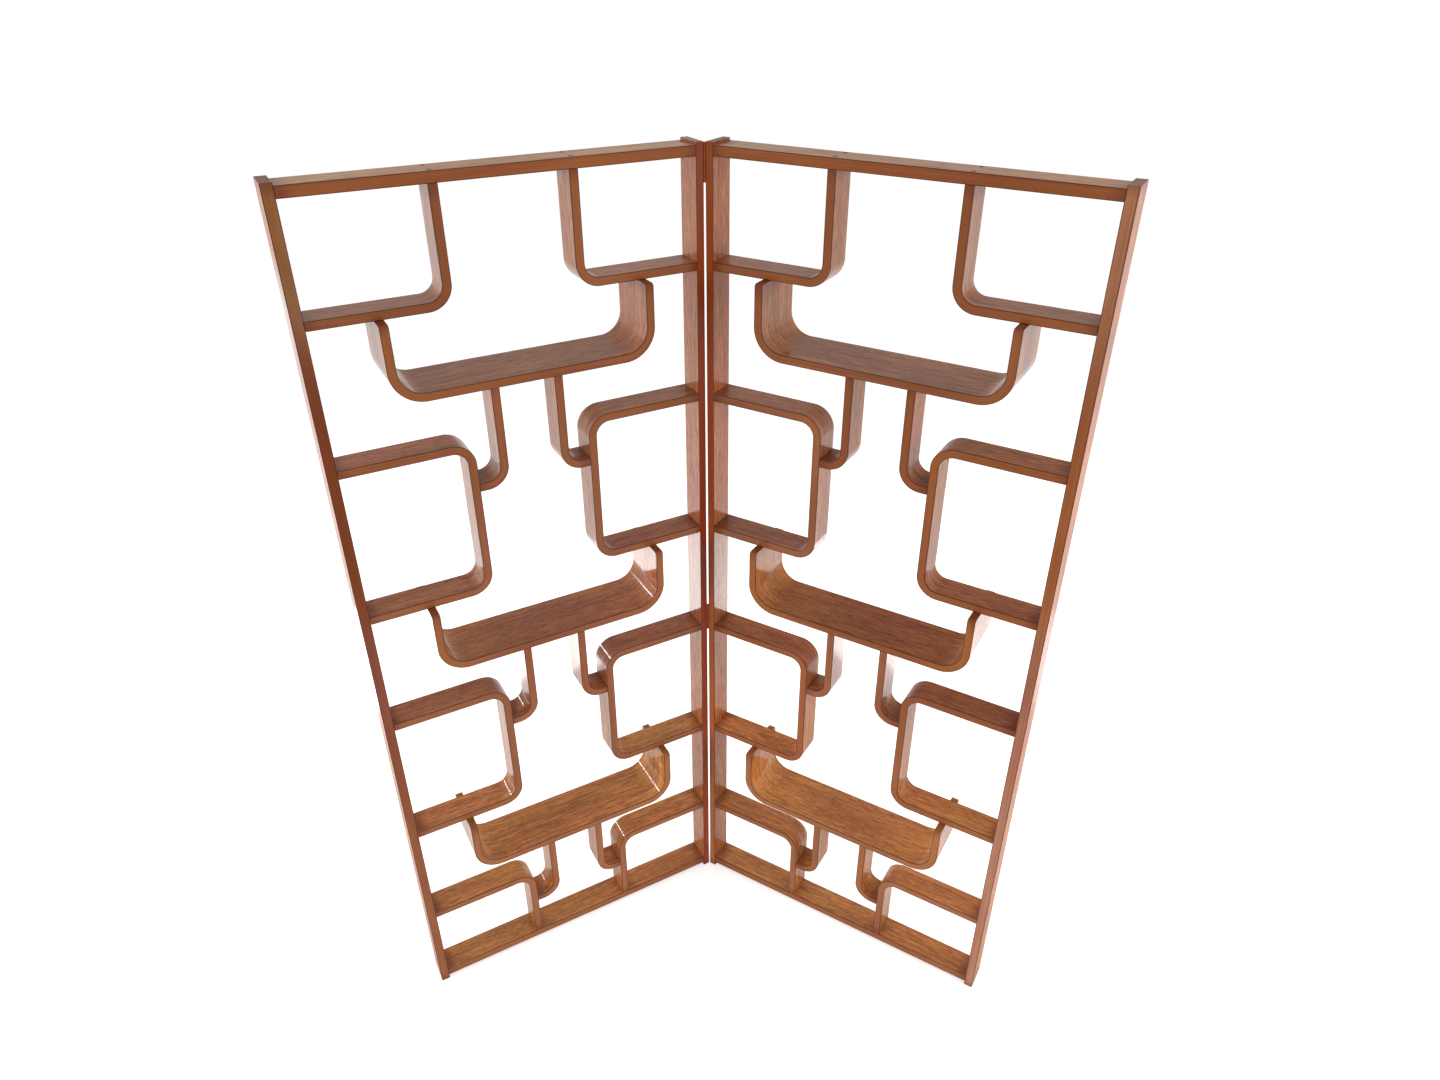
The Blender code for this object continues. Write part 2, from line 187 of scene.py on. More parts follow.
SHEENS = {
    "left_outer_post": (
        (0.60, 0.30), (0.84, 0.35), (0.92, 0.95), (1.04, 0.95), (1.14, 0.45),
        (1.35, 0.58), (1.58, 0.68), (1.64, 1.30), (1.70, 1.30), (1.76, 0.38),
    ),
    "right_outer_post": ((0.70, 0.14), (0.85, 0.09), (1.05, 0.14), (1.20, 0.24), (1.70, 0.42)),
    "right_inner_post": ((0.50, 0.7), (0.90, 1.0), (1.10, 0.7)),
    "right_inner_head_bracket": all_over(0.85),
    "right_outer_head_bracket": all_over(0.8),
    "right_outer_upper_cell": all_over(0.45),
    "right_inner_lower_cell": all_over(0.4),
    "right_outer_lower_cell": all_over(0.4),
    "right_inner_upper_hanger": all_over(0.7),
    "right_outer_upper_hanger": all_over(0.45),
    "right_inner_middle_hanger": all_over(1.3),
    "right_outer_middle_hanger": all_over(0.95),
    "left_inner_middle_hanger": all_over(0.85),
    "left_outer_middle_hanger": all_over(0.85),
    "right_inner_lower_hanger": all_over(0.7),
    "right_outer_lower_hanger": all_over(0.5),
    "right_middle_tray": all_over(0.4),
    "top_rail": all_over(0.75),
}
# Colour factors of some boards' wide faces; the top rail's more golden, less blue top is partly a painted
# reflection
FACE_SHADES = {
    "left_inner_post": all_over((1.12, 1.12, 1.12)),
    "right_inner_post": all_over((0.90, 0.90, 0.90)),
    "top_rail": all_over((1.22, 1.38, 0.98)),
    "base_rail": all_over((0.90, 0.90, 0.90)),
}
# Colour factors of some edges by height; on the posts their large rises, mostly of blue, are painted sheen
EDGE_SHADES_AND_PAINTED_SHEEN = {
    "left_inner_post": ((1.40, (1.1, 1.0, 0.9)), (1.60, (1.3, 1.2, 1.1)), (1.80, (1.2, 1.5, 1.8))),
    "right_inner_post": (
        (0.85, (1.35, 1.35, 1.4)), (1.10, (1.15, 1.25, 1.2)), (1.40, (1.2, 1.25, 1.1)),
        (1.60, (1.45, 1.5, 1.35)), (1.80, (1.15, 1.4, 1.5)),
    ),
    "left_outer_post": (
        (0.60, (1.0, 1.1, 1.3)), (0.95, (0.85, 0.9, 1.4)), (1.20, (0.75, 0.75, 0.5)),
        (1.55, (0.75, 0.75, 0.5)), (1.75, (1.05, 1.5, 2.2)),
    ),
    "right_outer_post": (
        (1.00, (1.3, 1.75, 3.3)), (1.20, (1.1, 1.2, 1.5)),
        (1.45, (1.1, 1.2, 1.5)), (1.75, (1.3, 1.85, 4.0)),
    ),
    "left_middle_tray": all_over((0.90, 0.84, 0.86)),
}
NO_TONE = all_over(0.0)
FULL_SHEEN = all_over(1.0)
NO_SHADE = all_over((1.0, 1.0, 1.0))


# Node trees

def make_node(tree, kind, sockets=None, **settings):
    made = tree.nodes.new("ShaderNode" + kind)
    for key, value in settings.items():
        setattr(made, key, value)
    for key, value in (sockets or {}).items():
        if isinstance(value, bpy.types.NodeSocket):
            tree.links.new(value, made.inputs[key])
        else:
            made.inputs[key].default_value = value
    return made


def maths(tree, operation, first, second=0.0, third=0.0):
    sockets = {0: first, 1: second, 2: third}
    return make_node(tree, "Math", sockets, operation=operation).outputs[0]


def weighed(tree, *pairs, rest=0.0):
    """The sum of values that each count with their own share, and of the rest."""
    total = rest
    for value, share in reversed(pairs):
        total = maths(tree, "MULTIPLY_ADD", value, share, total)
    return total


def ramp(tree, value, low, high, to_low=0.0, to_high=1.0):
    sockets = {"Value": value, "From Min": low, "From Max": high, "To Min": to_low, "To Max": to_high}
    return make_node(tree, "MapRange", sockets, interpolation_type="SMOOTHSTEP").outputs[0]


def mixed(tree, share, first, second, blend="MIX"):
    """Two colours mixed. The mixer's colour sockets go by number, because its names repeat."""
    sockets = {0: share, 6: first, 7: second}
    return make_node(tree, "Mix", sockets, data_type="RGBA", blend_type=blend).outputs[2]


def noise(tree, vector, stretch, detail, rough, distortion=0.0):
    scaled = make_node(tree, "VectorMath", {0: vector, 1: stretch}, operation="MULTIPLY").outputs[0]
    sockets = {"Vector": scaled, "Scale": 1.0, "Detail": detail, "Roughness": rough, "Distortion": distortion}
    return make_node(tree, "TexNoise", sockets).outputs[0]


def attribute(tree, name, output="Vector"):
    """What a board's mesh says of a place under the name."""
    return make_node(tree, "Attribute", attribute_name=name).outputs[output]


def axes(tree, vector):
    return make_node(tree, "SeparateXYZ", {0: vector}).outputs


def linear(value):
    """A screen value from 0 to 255 as an amount of light, by the standard curve of screens."""
    return value / 255 / 12.92 if value <= 10 else ((value / 255 + 0.055) / 1.055) ** 2.4


def colour(red, green, blue):
    """A colour given as it shows on the screen."""
    return (linear(red), linear(green), linear(blue), 1.0)


# Wood

# Noise of the wood: cells in a metre along the board, across and through it,
# then how detailed, how rough and how distorted it is
FIGURES = {
    "broad": ((3.0, 12.0, 12.0), 2.0, 0.5, 0.8),
    "hue": ((2.2, 8.0, 8.0), 1.0, 0.5),
    "band": ((11.0, 230.0, 230.0), 2.0, 0.6, 0.7),
    "bundle": ((3.5, 48.0, 48.0), 3.0, 0.6, 0.6),
    "fibre": ((36.0, 540.0, 540.0), 2.0, 0.8),
    "pores": ((48.0, 640.0, 640.0), 1.0, 0.5),
    "layers": ((2.5, 420.0, 60.0), 1.0, 0.5),
    "streaks": ((3.0, 170.0, 170.0), 3.0, 0.6),
}

# How much each noise counts, and between which of its values a ramp runs
BROAD_SHARE = 0.40
BAND_SHARE = 0.60
FIBRE_SHARE = 0.52
FIGURE_SHARE = 0.48
FACE_RANGE = (0.37, 0.63)
MIDDLE_STOP = 0.5
HUE_RANGE = (0.35, 0.65)
REDDER = (1.03, 0.97, 1.0, 1.0)
GREENER = (0.97, 1.03, 0.98, 1.0)
BUNDLE_RANGE = (0.52, 0.68)
BUNDLE_SHARE = 0.35
PORE_RANGE = (0.56, 0.66)
PORE_BAND_RANGE = (0.62, 0.38)
LEAST_PORES = 0.35
EDGE_LAYER_SHARE = 0.35
EDGE_FIBRE_SHARE = 0.15
EDGE_BROAD_SHARE = 0.5
EDGE_RANGE = (0.36, 0.64)
EDGE_DULL_SHARES = (0.74, 0.66, 0.6, 1.0)

# Darker, redder and more golden places, partly painted shade and reflection: how far they reach, in metres,
# and how strong they are
ARRIS_RANGE = (0.0021, 0.0012)
ARRIS_SHARE = 0.75
CAP_SHARE = 0.25
# Ends darken within a few centimetres, as stain and as painted shade where boards meet
STAIN_AND_SHADE_REACH = 0.030
STAIN_AND_SHADE_WANDER = 0.05
STAIN_AND_SHADE_SHARE = 0.55
RED_SHARE = 0.9
# Golden tray ends: partly the wood's colour, partly a painted reflection of the tray's floor in its ears
GOLD_AND_REFLECTION_RANGE = (0.30, 0.12)
GOLD_AND_PAINTED_REFLECTION = (1.35, 1.5, 1.1, 1.0)
PORE_PAINT = colour(70, 34, 20)
ARRIS_PAINT = colour(64, 24, 12)
CAP_PAINT = colour(90, 46, 26)
STAIN_AND_SHADE_PAINT = colour(98, 40, 24)
RED_PAINT = colour(131, 47, 26)

# The lacquer: roughness and gloss of the wood under it, its film, and its relief
WOOD_ROUGHNESS = 0.30
FIBRE_ROUGHNESS = 0.16
PORE_ROUGHNESS = 0.10
WOOD_SPECULAR = 0.08
STREAK_RANGE = (0.35, 0.65)
LEAST_FILM = 0.8
MOST_FILM = 1.1
RED_FILM_LOSS = 0.7
EDGE_FILM_LOSS = 0.4
COAT_ROUGHNESS = 0.1
COAT_IOR = 1.5
FIBRE_RELIEF = 0.5
PORE_RELIEF = -0.8
RELIEF_STRENGTH = 0.25
RELIEF_DISTANCE = 0.0003


def face_paint(tree, figures, pore_mask, light, middle, dark, pore_share):
    """A wide face: bands and fibres, with patches of hue, dark bundles and pores."""
    figure = weighed(tree, (figures["broad"], BROAD_SHARE), (figures["band"], BAND_SHARE))
    value = weighed(tree, (figures["fibre"], FIBRE_SHARE), (figure, FIGURE_SHARE))
    shades = make_node(tree, "ValToRGB", {0: ramp(tree, value, *FACE_RANGE)})
    stops = shades.color_ramp.elements
    stops[0].color = dark
    stops[1].color = light
    stops.new(MIDDLE_STOP).color = middle
    patch = mixed(tree, ramp(tree, figures["hue"], *HUE_RANGE), REDDER, GREENER)
    paint = mixed(tree, 1.0, shades.outputs[0], patch, "MULTIPLY")
    darker = maths(tree, "MULTIPLY", ramp(tree, figures["bundle"], *BUNDLE_RANGE), BUNDLE_SHARE)
    paint = mixed(tree, darker, paint, dark)
    return mixed(tree, maths(tree, "MULTIPLY", pore_mask, pore_share), paint, PORE_PAINT)


def edge_paint(tree, figures, edge):
    """A narrow edge, on which the layers of the board show as thin lines."""
    layers = (figures["layers"], EDGE_LAYER_SHARE)
    fibre = (figures["fibre"], EDGE_FIBRE_SHARE)
    broad = (figures["broad"], EDGE_BROAD_SHARE)
    dull = tuple(part * share for part, share in zip(edge, EDGE_DULL_SHARES))
    return mixed(tree, ramp(tree, weighed(tree, layers, fibre, broad), *EDGE_RANGE), dull, edge)


def darkened(tree, paint, broad, is_cap, to_arris, to_end):
    """The paint with darker arrises and end faces, and ends darkened as stain and as painted shade where
    boards meet.
    """
    arris = maths(tree, "MULTIPLY", ramp(tree, to_arris, *ARRIS_RANGE), ARRIS_SHARE)
    paint = mixed(tree, arris, paint, ARRIS_PAINT)
    paint = mixed(tree, maths(tree, "MULTIPLY", is_cap, CAP_SHARE), paint, CAP_PAINT)
    # Stain and painted shade near the ends
    uneven = weighed(tree, (broad, STAIN_AND_SHADE_WANDER), rest=maths(tree, "SUBTRACT", to_end, STAIN_AND_SHADE_WANDER / 2))
    stain_and_shade = maths(tree, "MULTIPLY", ramp(tree, uneven, STAIN_AND_SHADE_REACH, 0.0), STAIN_AND_SHADE_SHARE)
    return mixed(tree, stain_and_shade, paint, STAIN_AND_SHADE_PAINT)


def add_lacquer(tree, shader, figures, pore_mask, is_edge, red, gloss_share):
    """The clear film over the wood, thinner on edges and on what is red, and the wood's relief."""
    fibre = figures["fibre"]
    rough = weighed(tree, (fibre, FIBRE_ROUGHNESS), (pore_mask, PORE_ROUGHNESS), rest=WOOD_ROUGHNESS)
    tree.links.new(rough, shader.inputs["Roughness"])
    shader.inputs["Specular IOR Level"].default_value = WOOD_SPECULAR
    least = LEAST_FILM * gloss_share
    most = MOST_FILM * gloss_share
    film = ramp(tree, figures["streaks"], *STREAK_RANGE, least, most)
    film = maths(tree, "MULTIPLY", film, attribute(tree, "sheen", "Fac"))
    film = maths(tree, "MULTIPLY", film, weighed(tree, (red, -RED_FILM_LOSS), rest=1.0))
    film = maths(tree, "MULTIPLY", film, weighed(tree, (is_edge, -EDGE_FILM_LOSS), rest=1.0))
    tree.links.new(film, shader.inputs["Coat Weight"])
    shader.inputs["Coat Roughness"].default_value = COAT_ROUGHNESS
    shader.inputs["Coat IOR"].default_value = COAT_IOR
    add_relief(tree, shader, weighed(tree, (fibre, FIBRE_RELIEF), (pore_mask, PORE_RELIEF)))


def add_relief(tree, shader, height, strength=RELIEF_STRENGTH, distance=RELIEF_DISTANCE):
    bump = make_node(tree, "Bump", {"Height": height, "Strength": strength, "Distance": distance})
    tree.links.new(bump.outputs[0], shader.inputs["Normal"])


def wood(name, light, middle, dark, edge, gloss_share, pore_share=0.55, end_share=0.0):
    """Lacquered open-grained wood whose figure follows each board round its bends."""
    made = bpy.data.materials.new(name)
    made.use_nodes = True
    tree = made.node_tree
    shader = tree.nodes["Principled BSDF"]
    grain = attribute(tree, "grain")
    figures = {figure: noise(tree, grain, *settings) for figure, settings in FIGURES.items()}
    kind = attribute(tree, "kind", "Fac")
    is_edge = maths(tree, "COMPARE", kind, EDGE_KIND, KIND_TOLERANCE)
    is_cap = maths(tree, "COMPARE", kind, CAP_KIND, KIND_TOLERANCE)
    along, across, deep = axes(tree, attribute(tree, "place"))
    length, half, reach = axes(tree, attribute(tree, "limit"))
    to_face = maths(tree, "SUBTRACT", half, maths(tree, "ABSOLUTE", across))
    to_side = maths(tree, "SUBTRACT", reach, maths(tree, "ABSOLUTE", deep))
    to_end = maths(tree, "MINIMUM", along, maths(tree, "SUBTRACT", length, along))
    in_band = ramp(tree, figures["band"], *PORE_BAND_RANGE, LEAST_PORES, 1.0)
    pore_mask = maths(tree, "MULTIPLY", ramp(tree, figures["pores"], *PORE_RANGE), in_band)

    faces = face_paint(tree, figures, pore_mask, light, middle, dark, pore_share)
    paint = mixed(tree, is_edge, faces, edge_paint(tree, figures, edge))
    to_arris = maths(tree, "ADD", to_face, to_side)
    paint = darkened(tree, paint, figures["broad"], is_cap, to_arris, to_end)
    tone = attribute(tree, "tone", "Fac")
    red = maths(tree, "MULTIPLY", maths(tree, "MULTIPLY", tone, is_edge), RED_SHARE * (1 - end_share))
    paint = mixed(tree, red, paint, RED_PAINT)
    # Golden tray ends, partly a painted reflection of the tray's floor
    gold_and_reflection = maths(tree, "MULTIPLY", ramp(tree, to_end, *GOLD_AND_REFLECTION_RANGE, 0.0, end_share), tone)
    paint = mixed(tree, gold_and_reflection, paint, GOLD_AND_PAINTED_REFLECTION, "MULTIPLY")
    # The tints carry painted light by height (lighter and more golden lowest down) and painted sheen on low
    # edges
    tint = mixed(tree, is_edge, attribute(tree, "tint"), attribute(tree, "edge_tint"))
    shade = make_node(tree, "VectorMath", {0: paint, 1: tint}, operation="MULTIPLY")
    tree.links.new(shade.outputs[0], shader.inputs["Base Color"])
    add_lacquer(tree, shader, figures, pore_mask, is_edge, red, gloss_share)
    return made


WOODS = {
    "frame_wood": wood(
        "frame_lacquer",
        light=colour(190, 119, 72),
        middle=colour(162, 94, 54),
        dark=colour(128, 68, 40),
        edge=colour(146, 84, 44),
        gloss_share=0.8,
    ),
    "bent_wood": wood(
        "bent_lacquer",
        light=colour(186, 115, 74),
        middle=colour(160, 93, 56),
        dark=colour(126, 68, 42),
        edge=colour(146, 86, 48),
        gloss_share=0.7,
    ),
    "tray_wood": wood(
        "tray_lacquer",
        light=colour(176, 108, 66),
        middle=colour(150, 85, 50),
        dark=colour(116, 60, 36),
        edge=colour(144, 84, 46),
        gloss_share=0.7,
        pore_share=0.6,
        end_share=1.0,
    ),
}


# Metal

PATCH_NOISE = ((260.0, 260.0, 260.0), 4.0, 0.6)
SCRATCH_NOISE = ((900.0, 900.0, 9000.0), 2.0, 0.5)
PATCH_SHARE = 0.65
SCRATCH_SHARE = 0.35
METAL_RANGE = (0.35, 0.65)
PATCH_ROUGHNESS = 0.25
METALLIC = 0.7
METAL_RELIEF_STRENGTH = 0.2
METAL_RELIEF_DISTANCE = 0.0002


def metal(name, bright, dull, roughness):
    """Brushed metal with duller patches, in the piece's own coordinates."""
    made = bpy.data.materials.new(name)
    made.use_nodes = True
    tree = made.node_tree
    shader = tree.nodes["Principled BSDF"]
    place = make_node(tree, "TexCoord").outputs["Object"]
    patches = noise(tree, place, *PATCH_NOISE)
    scratches = noise(tree, place, *SCRATCH_NOISE)
    value = weighed(tree, (scratches, SCRATCH_SHARE), (patches, PATCH_SHARE))
    tree.links.new(mixed(tree, ramp(tree, value, *METAL_RANGE), dull, bright), shader.inputs["Base Color"])
    rough = weighed(tree, (patches, PATCH_ROUGHNESS), rest=roughness)
    tree.links.new(rough, shader.inputs["Roughness"])
    shader.inputs["Metallic"].default_value = METALLIC
    add_relief(tree, shader, value, METAL_RELIEF_STRENGTH, METAL_RELIEF_DISTANCE)
    return made


# Routes and sections of boards

def rounded_route(corners, radius):
    """Points and side directions along a line of corners whose inner corners are arcs."""
    points = [Vector(corner) for corner in corners]
    first = (points[1] - points[0]).normalized()
    stations = [(points[0], Vector((-first.y, first.x)))]
    for before, corner, after in zip(points, points[1:], points[2:]):
        coming = (corner - before).normalized()
        going = (after - corner).normalized()
        turn = 1 if coming.cross(going) > 0 else -1
        centre = corner - coming * radius + going * radius
        for step in range(BEND_STEPS + 1):
            angle = pi / 2 * step / BEND_STEPS
            outward = going * -cos(angle) + coming * sin(angle)
            stations.append((centre + outward * radius, outward * -turn))
    last = (points[-1] - points[-2]).normalized()
    stations.append((points[-1], Vector((-last.y, last.x))))
    return stations


def board_section(half, front, back, radius):
    """The board's section as points across the thickness and the depth, with rounded corners."""
    points = []
    for number, (side, level) in enumerate(((1, back), (-1, back), (-1, front), (1, front))):
        inward = -1 if level == back else 1
        for step in range(CORNER_STEPS + 1):
            angle = pi / 2 * (number + step / CORNER_STEPS)
            across = side * (half - radius) + radius * cos(angle)
            deep = level + inward * radius + radius * sin(angle)
            points.append((across, deep))
    return points


def lies_on_edge(index):
    """Whether the section's stretch after this point is part of a narrow edge, not of a wide face."""
    corner, step = divmod(index, CORNER_STEPS + 1)
    if step == CORNER_STEPS:
        return corner in (0, 2)
    starts_on_edge = corner in (1, 3)
    is_first_half = step < CORNER_STEPS / 2
    return is_first_half == starts_on_edge


def depth_at(length, lengths, depths):
    """The board's front and back at a length along its route."""
    for index in range(len(lengths) - 1):
        if length <= lengths[index + 1]:
            share = (length - lengths[index]) / (lengths[index + 1] - lengths[index])
            return tuple(a + (b - a) * share for a, b in zip(depths[index], depths[index + 1]))
    return depths[-1]


def ring_plan(stations, depths, end_edge):
    """Point, side, depths, inset and arc length of each ring, and the board's whole length.

    The two ends have more rings, which round them over.
    """
    lengths = [0.0]
    for (before, _), (after, _) in zip(stations, stations[1:]):
        lengths.append(lengths[-1] + (after - before).length)
    whole = lengths[-1]
    start, start_side = stations[0]
    stop, stop_side = stations[-1]
    coming = Vector((start_side.y, -start_side.x))
    going = Vector((stop_side.y, -stop_side.x))
    rounds = []
    for step in range(CORNER_STEPS + 1):
        angle = pi / 2 * step / CORNER_STEPS
        rounds.append((end_edge * (1 - cos(angle)), end_edge * (1 - sin(angle))))

    rings = []
    for run, inset in rounds:
        rings.append((start + coming * run, start_side, depth_at(run, lengths, depths), inset, run))
    for (point, side), depth, length in list(zip(stations, depths, lengths))[1:-1]:
        rings.append((point, side, depth, 0.0, length))
    for run, inset in reversed(rounds):
        depth = depth_at(whole - run, lengths, depths)
        rings.append((stop - going * run, stop_side, depth, inset, whole - run))
    return rings, whole


# Turned bodies and cuts

def placed(side, spot, direction):
    """Where a turned piece of a panel stands when its +Z lies along the direction."""
    turn = Vector(direction).to_track_quat("Z", "Y").to_matrix().to_4x4()
    swing = Matrix.Rotation(-SIGNS[side] * PANEL_TURN, 4, "Z")
    return Matrix.Translation((0, HINGE_Y, 0)) @ swing @ Matrix.Translation(spot) @ turn


def add_lathe(shape, profile, placing):
    """Add one closed body turned around +Z from pairs of radius and height."""
    columns = []
    for step in range(LATHE_SIDES):
        angle = 2 * pi * step / LATHE_SIDES
        column = []
        for radius, height in profile[1:-1]:
            spot = Vector((radius * cos(angle), radius * sin(angle), height))
            column.append(shape.verts.new(placing @ spot))
        columns.append(column)
    first = shape.verts.new(placing @ Vector((0, 0, profile[0][1])))
    last = shape.verts.new(placing @ Vector((0, 0, profile[-1][1])))
    for column, beside in zip(columns, columns[1:] + columns[:1]):
        shape.faces.new((first, column[0], beside[0]))
        shape.faces.new((last, beside[-1], column[-1]))
        for level in range(len(column) - 1):
            shape.faces.new((column[level], column[level + 1], beside[level + 1], beside[level]))
    bmesh.ops.recalc_face_normals(shape, faces=shape.faces)


def cut_away(target, shape):
    """Take the shape's bodies out of the target's mesh."""
    mesh = bpy.data.meshes.new("cutter")
    shape.to_mesh(mesh)
    shape.free()
    tool = bpy.data.objects.new("cutter", mesh)
    bpy.context.scene.collection.objects.link(tool)
    modifier = target.modifiers.new("cut", "BOOLEAN")
    modifier.operation = "DIFFERENCE"
    modifier.solver = "EXACT"
    modifier.object = tool
    result = bpy.data.meshes.new_from_object(target.evaluated_get(bpy.context.evaluated_depsgraph_get()))
    target.modifiers.remove(modifier)
    target.data = result
    bpy.data.objects.remove(tool, do_unlink=True)
    bpy.data.meshes.remove(mesh)
    result.shade_smooth()
    result.set_sharp_from_angle(angle=SHARP_ANGLE)


def cut_holes(target, side, spots):
    """The holes that the rail screws stand in."""
    shape = bmesh.new()
    for x, y in spots:
        add_lathe(shape, RAIL_HOLE, placed(side, (x, y, TOP_RAIL[1]), (0, 0, -1)))
    cut_away(target, shape)


# What differs from board to board

def spread(name, salt):
    """A number from 0 to 1 that depends only on the name and the salt."""
    total = SPREAD_START + salt * SALT_STEP
    for letter in name:
        total = (total * LETTER_STEP + ord(letter)) % SPREAD_MODULUS
    return (total % SPREAD_STEPS) / SPREAD_STEPS


def by_height(table, height):
    """The values that a table of heights gives, with soft steps between them."""
    found = table[0][1] if height < table[0][0] else table[-1][1]
    for (low, first), (high, second) in zip(table, table[1:]):
        if low <= height < high:
            share = (height - low) / (high - low)
            share = share * share * (3 - 2 * share)
            found = [a + (b - a) * share for a, b in zip(first, second)]
    return found


class Board:
    """One wooden board: its mesh, the places that its wood grain follows, and its bake map."""

    def __init__(self, side, name, stations, thickness, depths, edge, end_edge, holes=()):
        self.side = side
        self.name = name
        self.half = thickness / 2
        self.holes = holes
        self.shifts = [spread(name, salt) * GRAIN_SHIFT for salt in range(3)]
        front, back = depths[len(depths) // 2]
        self.middle = (front + back) / 2
        self.reach = (back - front) / 2
        self.rings, self.length = ring_plan(stations, depths, end_edge)
        self.sections = []
        for _, _, (front, back), inset, _ in self.rings:
            radius = max(edge - inset, BUTT_EDGE)
            self.sections.append(board_section(self.half - inset, front + inset, back - inset, radius))
        self.count = len(self.sections[0])

    def build(self, slot):
        spots, places = self.lay_points()
        sides, side_maps = self.lay_sides()
        caps, cap_maps = self.lay_caps()
        around = [EDGE_KIND if lies_on_edge(index) else FACE_KIND for index in range(self.count)]
        kinds = around * (len(self.sections) - 1) + [CAP_KIND] * len(caps)
        mesh = bpy.data.meshes.new(self.name)
        mesh.from_pydata(spots, [], sides + caps)
        maps = side_maps + cap_maps
        mesh.uv_layers.new(name="OFBake").data.foreach_set("uv", [v for pair in maps for v in pair])
        self.add_attributes(mesh, places, kinds)
        shape = bmesh.new()
        shape.from_mesh(mesh)
        if shape.calc_volume(signed=True) < 0:
            bmesh.ops.reverse_faces(shape, faces=shape.faces)
        shape.to_mesh(mesh)
        shape.free()
        mesh.shade_smooth()
        made = bpy.data.objects.new(self.name + "_wood", mesh)
        bpy.context.scene.collection.objects.link(made)
        mesh.materials.append(WOODS[slot])
        if self.holes:
            cut_holes(made, self.side, self.holes)
            self.mend_attributes(made.data)
        made.modifiers.new("normals", "WEIGHTED_NORMAL").keep_sharp = True
        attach(made, self.side + "_panel")
        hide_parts(self.name)

    def lay_points(self):
        """The mesh's points, and where each lies along, across and through the board."""
        turn = Matrix.Rotation(-SIGNS[self.side] * PANEL_TURN, 3, "Z")
        spots = []
        places = []
        for (point, side, _, _, run), section in zip(self.rings, self.sections):
            for across, deep in section:
                local = Vector((point.x + side.x * across, deep, point.y + side.y * across))
                spots.append(turn @ local + Vector((0, HINGE_Y, 0)))
                places.append((run, across, deep - self.middle))
        return spots, places

    def lay_sides(self):
        """The faces between the rings, and their places on the bake map."""
        count = self.count
        middle = self.sections[len(self.sections) // 2]
        walk = [0.0]
        for here, after in zip(middle, middle[1:] + middle[:1]):
            walk.append(walk[-1] + hypot(after[0] - here[0], after[1] - here[1]))
        across = [SIDES_MARGIN + SIDES_GIRTH * length / walk[-1] for length in walk]
        along = [SIDES_MARGIN + SIDES_LENGTH * ring[-1] / self.length for ring in self.rings]
        faces = []
        maps = []
        for ring, (low, high) in enumerate(zip(along, along[1:])):
            near = ring * count
            far = near + count
            for index, (left, right) in enumerate(zip(across, across[1:])):
                after = (index + 1) % count
                faces.append((near + index, near + after, far + after, far + index))
                maps.extend([(low, left), (low, right), (high, right), (high, left)])
        return faces, maps

    def lay_caps(self):
        """The two end faces, and their places on the bake map."""
        faces = []
        maps = []
        for number, ring in enumerate((0, len(self.sections) - 1)):
            order = list(range(self.count)) if number else list(reversed(range(self.count)))
            faces.append([ring * self.count + index for index in order])
            for index in order:
                across, deep = self.sections[ring][index]
                depth_share = (deep - self.middle + self.reach) / (2 * self.reach)
                width_share = (across + self.half) / (2 * self.half)
                u = CAP_CORNER[0] + CAP_PITCH * number + CAP_SPAN[0] * depth_share
                maps.append((u, CAP_CORNER[1] + CAP_SPAN[1] * width_share))
        return faces, maps

    def add_attributes(self, mesh, places, kinds):
        heights = [point.co.z for point in mesh.vertices]
        grain = mesh.attributes.new("grain", "FLOAT_VECTOR", "POINT")
        grain.data.foreach_set("vector", [v for place in places for v in self.grain_at(place)])
        place = mesh.attributes.new("place", "FLOAT_VECTOR", "POINT")
        place.data.foreach_set("vector", [v for spot in places for v in spot])
        limit = mesh.attributes.new("limit", "FLOAT_VECTOR", "POINT")
        limit.data.foreach_set("vector", [self.length, self.half, self.reach] * len(places))
        kind = mesh.attributes.new("kind", "FLOAT", "FACE")
        kind.data.foreach_set("value", kinds)
        for name, shares in (("tone", self.own(TONES, NO_TONE)), ("sheen", self.own(SHEENS, FULL_SHEEN))):
            table = [(height, (share,)) for height, share in shares]
            made = mesh.attributes.new(name, "FLOAT", "POINT")
            made.data.foreach_set("value", [by_height(table, height)[0] for height in heights])
        for name, tints in (("tint", FACE_TINTS_AND_PAINTED_LIGHT), ("edge_tint", EDGE_TINTS_AND_PAINTED_LIGHT)):
            made = mesh.attributes.new(name, "FLOAT_VECTOR", "POINT")
            made.data.foreach_set("vector", [v for height in heights for v in self.tint(tints, height)])

    def grain_at(self, place):
        """Each board is cut from another part of the grain."""
        return [value + shift for value, shift in zip(place, self.shifts)]

    def own(self, table, other):
        """What a table holds for this board, by its full name or by its name without the side."""
        return table.get(self.name, table.get(self.name.partition("_")[2], other))

    def tint(self, tints, height):
        """Boards differ a little, and the factors by height are painted light: the wood is lighter and more
        golden lowest down and darker in the middle, as in the photograph.
        """
        found = by_height(tints, height)
        shade = LEAST_SHADE + SHADE_SPAN * spread(self.name, SHADE_SALT)
        # Posts take only a part of the painted light by height
        if tints is FACE_TINTS_AND_PAINTED_LIGHT and "post" in self.name:
            found = [1 + (value - 1) * POST_TINT_SHARE for value in found]
        shades = self.own(FACE_SHADES if tints is FACE_TINTS_AND_PAINTED_LIGHT else EDGE_SHADES_AND_PAINTED_SHEEN, NO_SHADE)
        return [shade * value * own for value, own in zip(found, by_height(shades, height))]

